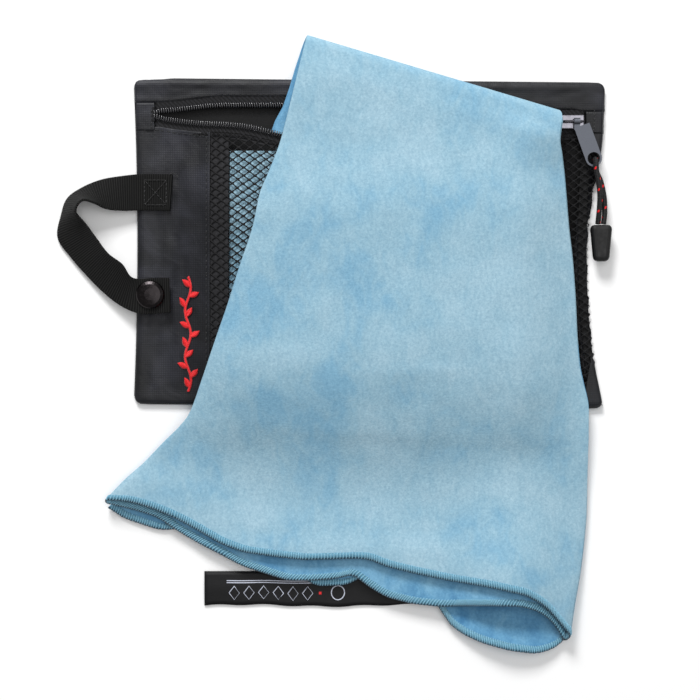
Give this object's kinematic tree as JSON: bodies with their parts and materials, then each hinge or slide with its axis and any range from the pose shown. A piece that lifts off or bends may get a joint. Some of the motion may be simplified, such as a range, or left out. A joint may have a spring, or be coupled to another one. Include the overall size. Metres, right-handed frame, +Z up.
{
  "type": "quick dry towel in pouch",
  "caption": "Blue microfibre travel towel folded lengthwise, half drawn out of a black zip pouch with a mesh front, webbing handle with a snap, and a corded zip pull",
  "frame": {"origin": "middle of the pouch's back face, on the surface it rests on", "axes": "+Y from the pouch's bottom seam to its zip, +X from the handle to the zip slider, +Z up through the mesh front"},
  "size_m": [0.2907, 0.3168, 0.0236],
  "materials": {
    "nylon_cloth": "plain-woven nylon, matt",
    "mesh_cloth": "open knitted mesh with diamond holes",
    "seam_cloth": "turned-in seam allowance",
    "zip_tape": "woven zip tape",
    "zip_coil": "nylon coil, slight sheen",
    "gunmetal": "dark plated die-cast metal, polished",
    "tab_metal": "dark grey plated metal, satin",
    "cord_braid": "braided cord with red flecks",
    "moulded_end": "moulded soft plastic, matt",
    "webbing": "ribbed polypropylene webbing",
    "snap_metal": "black plated snap cap",
    "red_thread": "satin-stitched thread",
    "towel_cloth": "brushed microfibre nap",
    "hem_thread": "overlocked edge thread",
    "label_satin": "woven satin ribbon"
  },
  "bodies": {
    "pouch_and_towel": {"pouch_back_panel": "nylon_cloth", "pouch_top_band": "nylon_cloth", "pouch_side_panel": "nylon_cloth", "pouch_mesh_panel": "mesh_cloth", "corner_facing_top": "nylon_cloth", "corner_facing_bottom": "nylon_cloth", "zip_end_facing": "nylon_cloth", "side_seam_left": "seam_cloth", "side_seam_right": "seam_cloth", "bottom_seam": "seam_cloth", "mesh_join_tape": "seam_cloth", "zip_tape_upper": "zip_tape", "zip_tape_lower": "zip_tape", "zip_teeth_upper": "zip_coil", "zip_teeth_lower": "zip_coil", "zip_stop_left": "zip_coil", "zip_stop_right": "zip_coil", "handle_webbing": "webbing", "snap_stud": "gunmetal", "snap_stud_back": "gunmetal", "motif_embroidery": "red_thread", "towel_packed": "towel_cloth", "towel_drape": "towel_cloth", "towel_hem_upper": "hem_thread", "towel_hem_lower": "hem_thread"},
    "zip_slider": {"slider_lower_plate": "gunmetal", "slider_upper_plate": "gunmetal", "slider_post": "gunmetal", "slider_bridge": "gunmetal"},
    "zip_tab": {"pull_tab": "tab_metal"},
    "pull_cord_loop": {"pull_cord": "cord_braid", "pull_cord_end": "moulded_end"},
    "snap_end": {"handle_webbing_tail": "webbing", "snap_cap": "snap_metal", "snap_socket": "gunmetal"},
    "label": {"label_ribbon": "label_satin"}
  },
  "joints": [
    {"name": "zip_slide", "type": "slide", "parent": "pouch_and_towel", "child": "zip_slider", "axis": [1, 0, 0], "range_m": [-0.004, 0.004]},
    {"name": "tab_flip", "type": "hinge", "parent": "zip_slider", "child": "zip_tab", "pos_m": [0.1082, 0.0636, 0.0077], "axis": [-1, 0, 0], "range_deg": [0, 110]},
    {"name": "cord_swing", "type": "hinge", "parent": "zip_tab", "child": "pull_cord_loop", "pos_m": [0.11818, 0.04058, 0.0077], "axis": [-1, 0, 0], "range_deg": [0, 60]},
    {"name": "snap_pull_off", "type": "slide", "parent": "pouch_and_towel", "child": "snap_end", "axis": [0, 0, 1], "range_m": [0, 0.015]},
    {"name": "label_swing", "type": "hinge", "parent": "pouch_and_towel", "child": "label", "pos_m": [0.038, -0.1867, 0.0007], "axis": [0, 0, 1], "range_deg": [0, 30]}
  ]
}
